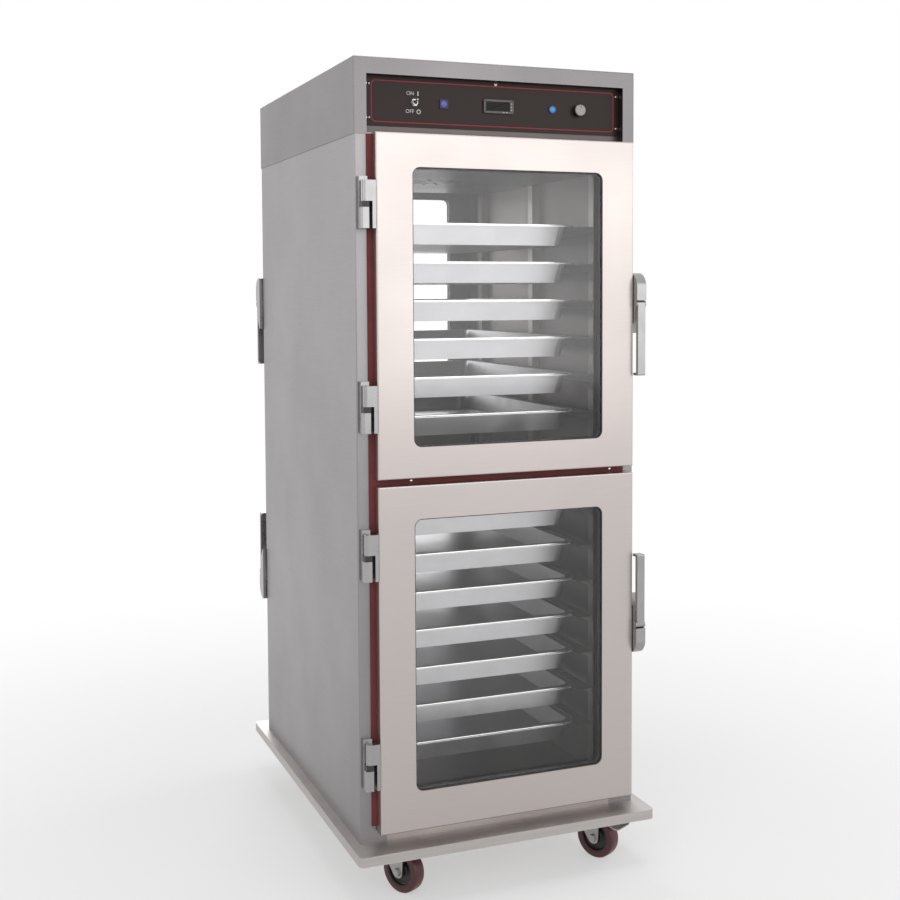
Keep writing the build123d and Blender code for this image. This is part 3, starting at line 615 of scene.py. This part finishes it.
line = bmesh.new()
line_length = panel_size[0] - LINE_INSET_LEFT - LINE_INSET_RIGHT
rounded_loop(line, line_length, panel_size[1] - 2 * LINE_INSET, LINE_CORNER)
keep_rim(line, LINE_WIDTH)
lift(line, line.faces[:], PRINT_THICKNESS)
line_middle = (panel_low[0] + LINE_INSET_LEFT + panel_high[0] - LINE_INSET_RIGHT) / 2
stand_up(line, line_middle, panel_face, panel_middle)
red_print = moulded_plastic("red_print", LINE_HEX, 0.4, 0.8, 0.0, 0.2)
finish_piece("panel_red_line", line, [red_print], "cabinet")


# Switch markings: white screen print beside the toggle, the line and circle of on and off
# and the two words.
MARK_X = joints["toggle_tilt"]["pos_m"][0]
MARK_RISE = 0.0195
WORD_SIZE = 0.0115
WORDS = (("ON", -0.0185, MARK_RISE), ("OFF", -0.0205, -MARK_RISE))
BAR_SIZE = (0.0026, 0.0095, 0.0004)
BAR_RIGHT = 0.0085
CIRCLE_RADIUS = 0.0050
CIRCLE_LINE = 0.0018
CIRCLE_RIGHT = 0.0100
white_print = moulded_plastic("white_print", "#D9D6D4", 0.5, 0.8, 0.0)


def printed(name, text, x, z):
    """Flat printed letters on the panel, as a mesh."""
    curve = bpy.data.curves.new(name, "FONT")
    curve.body = text
    curve.size = WORD_SIZE
    curve.align_x = "LEFT"
    curve.align_y = "CENTER"
    curve.extrude = PRINT_THICKNESS / 2
    holder = bpy.data.objects.new(name, curve)
    flat = bpy.data.meshes.new_from_object(holder)
    letters = bmesh.new()
    letters.from_mesh(flat)
    bpy.data.objects.remove(holder)
    bmesh.ops.remove_doubles(letters, verts=letters.verts, dist=1e-6)
    stand_up(letters, x, panel_face - PRINT_THICKNESS / 2, z)
    finish_piece(name, letters, [white_print], "cabinet")


for word, word_right, word_up in WORDS:
    printed(f"switch_word_{word.lower()}", word, MARK_X + word_right, panel_middle + word_up)
bar = bmesh.new()
rounded_loop(bar, *BAR_SIZE, 2)
lift(bar, bar.faces[:], PRINT_THICKNESS)
stand_up(bar, MARK_X + BAR_RIGHT, panel_face, panel_middle + MARK_RISE)
finish_piece("switch_mark_on", bar, [white_print], "cabinet")
circle = bmesh.new()
bmesh.ops.create_circle(circle, cap_ends=True, segments=32, radius=CIRCLE_RADIUS)
keep_rim(circle, CIRCLE_LINE)
lift(circle, circle.faces[:], PRINT_THICKNESS)
stand_up(circle, MARK_X + CIRCLE_RIGHT, panel_face, panel_middle - MARK_RISE)
finish_piece("switch_mark_off", circle, [white_print], "cabinet")


# Toggle switch: chromed bat handle in a threaded bushing, bright against the dark panel.
bright_chrome = plain_metal("bright_chrome", "#A5A5A6", 0.18, 20.0, 0.03, 0.004)
dress("panel_hardware", bright_chrome)
dress("toggle_lever", bright_chrome)


# Temperature display: a thermostat in a grey frame, with a nearly black red screen. The set
# keys at its right and under it are bare domes, too small to carry a word.
DISPLAY_HEX = "#5E5959"
SCREEN_HEX = "#140608"
display_low, display_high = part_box("temperature_display")
display_x = (display_low[0] + display_high[0]) / 2
display_size = (display_high[0] - display_low[0], display_high[2] - display_low[2])
display_depth = panel_face - display_low[1]
SCREEN_LEFT = 0.006
SCREEN_RIGHT = 0.012
BEZEL_CORNER = 0.0025
BEZEL_RIM = 0.0045
SCREEN_STEP = 0.0006
SCREEN_SUNK = 0.002
display_grey = moulded_plastic("grey_abs_bezel", DISPLAY_HEX, 0.42, 0.9)
screen_red = moulded_plastic("smoked_red_acrylic", SCREEN_HEX, 0.12, 6.0, 0.0, 0.15)

bezel = bmesh.new()
rounded_loop(bezel, *display_size, BEZEL_CORNER, 4)
lift(bezel, bezel.faces[:], display_depth)
front_faces = [
    face for face in bezel.faces if face.calc_center_median().z > display_depth * 0.9
]
bmesh.ops.inset_region(bezel, faces=front_faces, thickness=BEZEL_RIM, depth=0.0)
screen_faces = [
    face
    for face in bezel.faces
    if face.calc_center_median().z > display_depth * 0.9 and len(face.verts) > 4
]
bmesh.ops.inset_region(bezel, faces=screen_faces, thickness=SCREEN_STEP, depth=-SCREEN_SUNK)
screen_shift = (SCREEN_LEFT - SCREEN_RIGHT) / 2
for face in screen_faces:
    face.material_index = 1
    bmesh.ops.translate(bezel, vec=(screen_shift, 0, 0), verts=face.verts)
stand_up(bezel, display_x, panel_face, panel_middle)
display = finish_piece(
    "thermostat_face", bezel, [display_grey, screen_red], "cabinet", sharp=20.0
)
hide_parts("temperature_display")

KEYS = ((0.0305, 0.007), (0.0305, 0.0), (0.0305, -0.007), (0.019, -0.0122), (0.012, -0.0122))
KEY_RADIUS = 0.0014
KEY_SUNK = 0.0003
keys = bmesh.new()
for key_x, key_z in KEYS:
    key_place = (display_x + key_x, display_low[1] + KEY_SUNK, panel_middle + key_z)
    add_dome(keys, KEY_RADIUS, (1.3, 0.5, 1.0), key_place, 12, 6)
finish_piece("thermostat_keys", keys, [white_print], "cabinet")


# Pilot lights: the square mains light and the smaller round heat light, both with a blue
# acrylic lens that glows a little. The square one sits in a dark bezel.
lights_low, lights_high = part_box("pilot_lights")
MAINS_BEZEL = 0.020
MAINS_BEZEL_CORNER = 0.002
MAINS_BEZEL_DEPTH = 0.003
COLLAR_RADIUS = 0.0094
COLLAR_DEPTH = 0.0022
LENS_RADIUS = COLLAR_RADIUS * 0.84
LENS_FLATNESS = 0.62
LENS_PROUD = 0.0005
FLUTE_MM = 3.0
power_x = lights_low[0] + MAINS_BEZEL / 2
heat_x = lights_high[0] - 0.0084


def lit_lens(name, hex_colour, glow):
    """Coloured acrylic over a lamp: glossy, brighter in the middle of its fluting."""
    material, tree, output = new_material(name)
    place = node(tree, "ShaderNodeTexCoord").outputs["Object"]
    facets = node(
        tree, "ShaderNodeTexVoronoi", {"Vector": place, "Scale": 1000.0 / FLUTE_MM}
    ).outputs[0]
    tone = node(
        tree, "ShaderNodeMapRange", {"Value": facets, "To Min": 1.15, "To Max": 0.75}
    ).outputs[0]
    colour = node(
        tree, "ShaderNodeVectorMath", {0: linear(hex_colour)[:3], 3: tone}, operation="SCALE"
    ).outputs[0]
    lens = node(
        tree,
        "ShaderNodeBsdfPrincipled",
        {
            "Base Color": colour,
            "Roughness": 0.18,
            "Emission Color": colour,
            "Emission Strength": glow,
        },
    )
    tree.links.new(lens.outputs[0], output.inputs["Surface"])
    return material


violet_lens = lit_lens("violet_blue_lens", "#5F5BB4", 0.35)
blue_lens = lit_lens("blue_lens", "#3B8CCB", 0.35)
dark_bezel = moulded_plastic("dark_blue_bezel", "#1E1A44", 0.4, 0.8)
square = bmesh.new()
rounded_loop(square, MAINS_BEZEL, MAINS_BEZEL, MAINS_BEZEL_CORNER, 3)
lift(square, square.faces[:], MAINS_BEZEL_DEPTH)
stand_up(square, power_x, panel_face, panel_middle)
mains_bezel = finish_piece(
    "mains_light_bezel", square, [dark_bezel], "cabinet", sharp=20.0
)
for light_name, light_x, material in (
    ("mains_light_lens", power_x, violet_lens),
    ("heat_light_lens", heat_x, blue_lens),
):
    lens = bmesh.new()
    lens_place = (light_x, panel_face - LENS_PROUD, panel_middle)
    add_dome(lens, LENS_RADIUS, (1.0, LENS_FLATNESS, 1.0), lens_place, 32, 16)
    finish_piece(light_name, lens, [material], "cabinet")
collar = bmesh.new()
bmesh.ops.create_circle(collar, cap_ends=True, segments=40, radius=COLLAR_RADIUS)
lift(collar, collar.faces[:], COLLAR_DEPTH)
stand_up(collar, heat_x, panel_face, panel_middle)
finish_piece("heat_light_collar", collar, [dark_bezel], "cabinet", sharp=20.0)
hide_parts("pilot_lights")


# Temperature knob: turned aluminium, left satin, so it takes the light softly and shows
# darker than the chromed switch.
dress("temperature_knob", plain_metal("turned_aluminium_knob", "#767270", 0.28, 8.0, 0.05))


# Panel screws: five chromed dome heads that hold the panel to its carrier.
SCREW_RADIUS = 0.0034
SCREW_INSET_LEFT = 0.013
SCREW_INSET_RIGHT = 0.006
SCREW_INSET_TOP = 0.005
CORNER_SCREW_INSET = 0.017
screws = bmesh.new()
left_x = SCREW_INSET_LEFT - panel_size[0] / 2
right_x = panel_size[0] / 2 - SCREW_INSET_RIGHT
corner_z = panel_size[1] / 2 - CORNER_SCREW_INSET
screw_places = [(x, z) for x in (left_x, right_x) for z in (-corner_z, corner_z)]
screw_places.append((0.0, panel_size[1] / 2 - SCREW_INSET_TOP))
for screw_x, screw_z in screw_places:
    screw_place = (screw_x, panel_face, panel_middle + screw_z)
    add_dome(screws, SCREW_RADIUS, (1.0, 0.75, 1.0), screw_place)
finish_piece("panel_screw_domes", screws, [bright_chrome], "cabinet")


# Air system, hidden over the cavity: black painted motor, aluminium blower wheel, and a
# sheathed element, browned in cloudy patches by its own heat.
dress("fan_motor", moulded_plastic("black_baked_enamel", "#232325", 0.35, 0.9))
dress("fan_wheel", plain_metal("pressed_aluminium_fan", "#BDBDBD", 0.35, 25.0))
dress("heating_element", plain_metal("heat_blued_sheath", "#5B4E48", 0.40, 40.0, 0.25))


# Casters: pressed and zinc plated plates, forks and pedals, each with a wheel that is a
# maroon polyurethane tyre cast on a dark nylon core.
TYRE_HEX = "#57292D"
CORE_HEX = "#2C2826"
zinc = plain_metal("clear_zinc_plate", "#A9A8A6", 0.36, 22.0, 0.07)
tyre_rubber = cast_rubber("maroon_polyurethane", TYRE_HEX, 1.4, 0.34)
core_nylon = moulded_plastic("dark_nylon_core", CORE_HEX, 0.42, 1.2)
dress("caster_plates", zinc)
caster_names = [f"{end}_{side}" for end in ("front", "rear") for side in ("left", "right")]
# Closed outlines of radius and height along the axle, in metres.
TYRE_PROFILE = (
    (0.0352, 0.0150),
    (0.0462, 0.0150),
    (0.0482, 0.0142),
    (0.0495, 0.0115),
    (0.0500, 0.0060),
    (0.0500, -0.0060),
    (0.0495, -0.0115),
    (0.0482, -0.0142),
    (0.0462, -0.0150),
    (0.0352, -0.0150),
)
CORE_PROFILE = (
    (0.0051, 0.0175),
    (0.0110, 0.0175),
    (0.0125, 0.0160),
    (0.0128, 0.0080),
    (0.0150, 0.0062),
    (0.0290, 0.0062),
    (0.0312, 0.0080),
    (0.0325, 0.0138),
    (0.0355, 0.0145),
    (0.0355, -0.0145),
    (0.0325, -0.0138),
    (0.0312, -0.0080),
    (0.0290, -0.0062),
    (0.0150, -0.0062),
    (0.0128, -0.0080),
    (0.0125, -0.0160),
    (0.0110, -0.0175),
    (0.0051, -0.0175),
)


def turned_ring(profile):
    """A ring spun about Z from a closed outline of radius and height."""
    mesh = bmesh.new()
    verts = [mesh.verts.new((radius, 0.0, height)) for radius, height in profile]
    edges = [mesh.edges.new((a, b)) for a, b in zip(verts, verts[1:] + verts[:1])]
    bmesh.ops.spin(
        mesh,
        geom=verts + edges,
        cent=(0, 0, 0),
        axis=(0, 0, 1),
        angle=2 * pi,
        steps=64,
        use_merge=True,
        use_duplicate=False,
    )
    return mesh


for caster in caster_names:
    dress(f"{caster}_fork", zinc)
    if f"{caster}_brake" in frame["nodes"]:
        dress(f"{caster}_brake", zinc)
    roll = joints[f"{caster}_roll"]
    to_axle = Vector(roll["axis"]).to_track_quat("Z", "Y").to_matrix()
    for part_name, profile, material in (
        ("tyre", TYRE_PROFILE, tyre_rubber),
        ("wheel_core", CORE_PROFILE, core_nylon),
    ):
        part = turned_ring(profile)
        bmesh.ops.transform(part, matrix=to_axle, verts=part.verts)
        bmesh.ops.translate(part, vec=roll["pos_m"], verts=part.verts)
        finish_piece(
            f"{caster}_{part_name}", part, [material], f"{caster}_roller"
        )
    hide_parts(f"{caster}_wheel")
